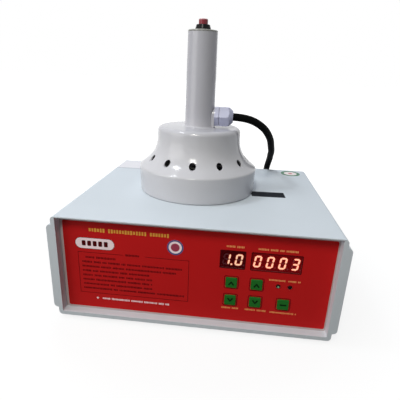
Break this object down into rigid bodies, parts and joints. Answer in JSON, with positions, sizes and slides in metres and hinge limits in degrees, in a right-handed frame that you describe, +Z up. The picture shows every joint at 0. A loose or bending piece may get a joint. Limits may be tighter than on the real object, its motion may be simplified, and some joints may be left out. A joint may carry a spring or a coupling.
{
  "type": "induction cap sealer",
  "caption": "Hand-held induction cap sealer: a control case with red keypad panel and digit displays, and a round vented sealing head with handle and trigger standing on it, joined by a lead.",
  "frame": {"origin": "centre of the case's footprint, on the table that the feet stand on", "axes": "+X to the operator's right, front panel faces -Y, +Z up"},
  "size_m": [0.305, 0.397, 0.323],
  "materials": {
    "upper_plastic": "fine satin moulded plastic, pale grey-blue",
    "lower_plastic": "fine satin moulded plastic, grey",
    "foot_rubber": "matt black rubber",
    "screw_steel": "plated steel",
    "panel_plate": "plain pale plate",
    "rear_plate": "grey paint",
    "red_film": "printed polyester film",
    "tinted_window": "dark red tinted window",
    "display_black": "black display face",
    "board_green": "solder-masked circuit board",
    "spacer_brass": "turned brass",
    "switch_black": "moulded black plastic",
    "key_green": "moulded green key",
    "lamp_green": "clear green lamp, lit",
    "lamp_dark": "clear dark lamp, unlit",
    "black_plastic": "black moulded plastic",
    "blade_metal": "plated contact blades",
    "gland_nylon": "pale grey nylon",
    "seal_rubber": "black seal rubber",
    "sink_aluminium": "extruded aluminium",
    "can_sleeve": "shrink sleeve",
    "box_epoxy": "potted film capacitor",
    "ferrite": "dark sintered ferrite",
    "copper_wire": "enamelled copper wire",
    "head_plastic": "glossy grey moulding",
    "cap_plastic": "glossy grey moulding",
    "base_laminate": "heat-resistant plate",
    "former_plastic": "coil former moulding",
    "trigger_black": "black bezel",
    "trigger_red": "red push button",
    "lead_jacket": "flexible black jacket"
  },
  "bodies": {
    "sealer": {"lower_case": "lower_plastic", "upper_case": "upper_plastic", "feet": "foot_rubber", "case_screws": "screw_steel", "front_panel": "panel_plate", "panel_film": "red_film", "time_window": "tinted_window", "count_window": "tinted_window", "time_display": "display_black", "count_display": "display_black", "control_board": "board_green", "board_spacers": "spacer_brass", "board_screws": "screw_steel", "tact_switches": "switch_black", "led_working": "lamp_green", "led_alarm": "lamp_dark", "rear_panel": "rear_plate", "fan_frame": "black_plastic", "fan_guard": "black_plastic", "fan_screws": "screw_steel", "mains_inlet": "black_plastic", "inlet_blades": "blade_metal", "switch_body": "black_plastic", "fuse_holder": "black_plastic", "rear_gland_body": "gland_nylon", "rear_gland_nut": "gland_nylon", "rear_gland_seal": "seal_rubber", "rear_gland_locknut": "gland_nylon", "power_board": "board_green", "power_board_screws": "screw_steel", "heatsink": "sink_aluminium", "bulk_capacitor": "can_sleeve", "resonant_capacitors": "box_epoxy", "transformer_core": "ferrite", "transformer_winding": "copper_wire", "head_shell": "head_plastic", "base_plate": "base_laminate", "base_screws": "screw_steel", "coil_former": "former_plastic", "induction_coil": "copper_wire", "ferrite_bars": "ferrite", "handle_cap": "cap_plastic", "trigger_body": "trigger_black", "trigger_nut": "screw_steel", "head_gland_body": "gland_nylon", "head_gland_nut": "gland_nylon", "head_gland_seal": "seal_rubber", "lead_upper": "lead_jacket", "lead_coil": "lead_jacket", "lead_lower": "lead_jacket"},
    "time_up": {"key_time_up": "key_green"},
    "time_down": {"key_time_down": "key_green"},
    "power_up": {"key_power_up": "key_green"},
    "power_down": {"key_power_down": "key_green"},
    "reset": {"key_reset": "key_green"},
    "trigger": {"trigger_button": "trigger_red"},
    "rocker": {"power_rocker": "switch_black"},
    "fan": {"fan_rotor": "black_plastic"},
    "fuse_plug": {"fuse_cap": "switch_black"}
  },
  "joints": [
    {"name": "time_up_press", "type": "slide", "parent": "sealer", "child": "time_up", "axis": [0, 1, 0], "range_m": [0, 0.0006], "stiffness_N_per_m": 1200, "springref_m": -0.0005},
    {"name": "time_down_press", "type": "slide", "parent": "sealer", "child": "time_down", "axis": [0, 1, 0], "range_m": [0, 0.0006], "stiffness_N_per_m": 1200, "springref_m": -0.0005},
    {"name": "power_up_press", "type": "slide", "parent": "sealer", "child": "power_up", "axis": [0, 1, 0], "range_m": [0, 0.0006], "stiffness_N_per_m": 1200, "springref_m": -0.0005},
    {"name": "power_down_press", "type": "slide", "parent": "sealer", "child": "power_down", "axis": [0, 1, 0], "range_m": [0, 0.0006], "stiffness_N_per_m": 1200, "springref_m": -0.0005},
    {"name": "reset_press", "type": "slide", "parent": "sealer", "child": "reset", "axis": [0, 1, 0], "range_m": [0, 0.0006], "stiffness_N_per_m": 1200, "springref_m": -0.0005},
    {"name": "trigger_press", "type": "slide", "parent": "sealer", "child": "trigger", "axis": [0, 0, -1], "range_m": [0, 0.0025], "stiffness_N_per_m": 800, "springref_m": -0.0025},
    {"name": "rocker_tilt", "type": "hinge", "parent": "sealer", "child": "rocker", "pos_m": [0.105, 0.116, 0.078], "axis": [1, 0, 0], "range_deg": [0, 18]},
    {"name": "fan_spin", "type": "hinge", "parent": "sealer", "child": "fan", "pos_m": [-0.085, 0.104, 0.064], "axis": [0, 1, 0], "continuous": true},
    {"name": "fuse_turn", "type": "hinge", "parent": "sealer", "child": "fuse_plug", "pos_m": [0.027, 0.117, 0.078], "axis": [0, 1, 0], "range_deg": [0, 60]}
  ]
}
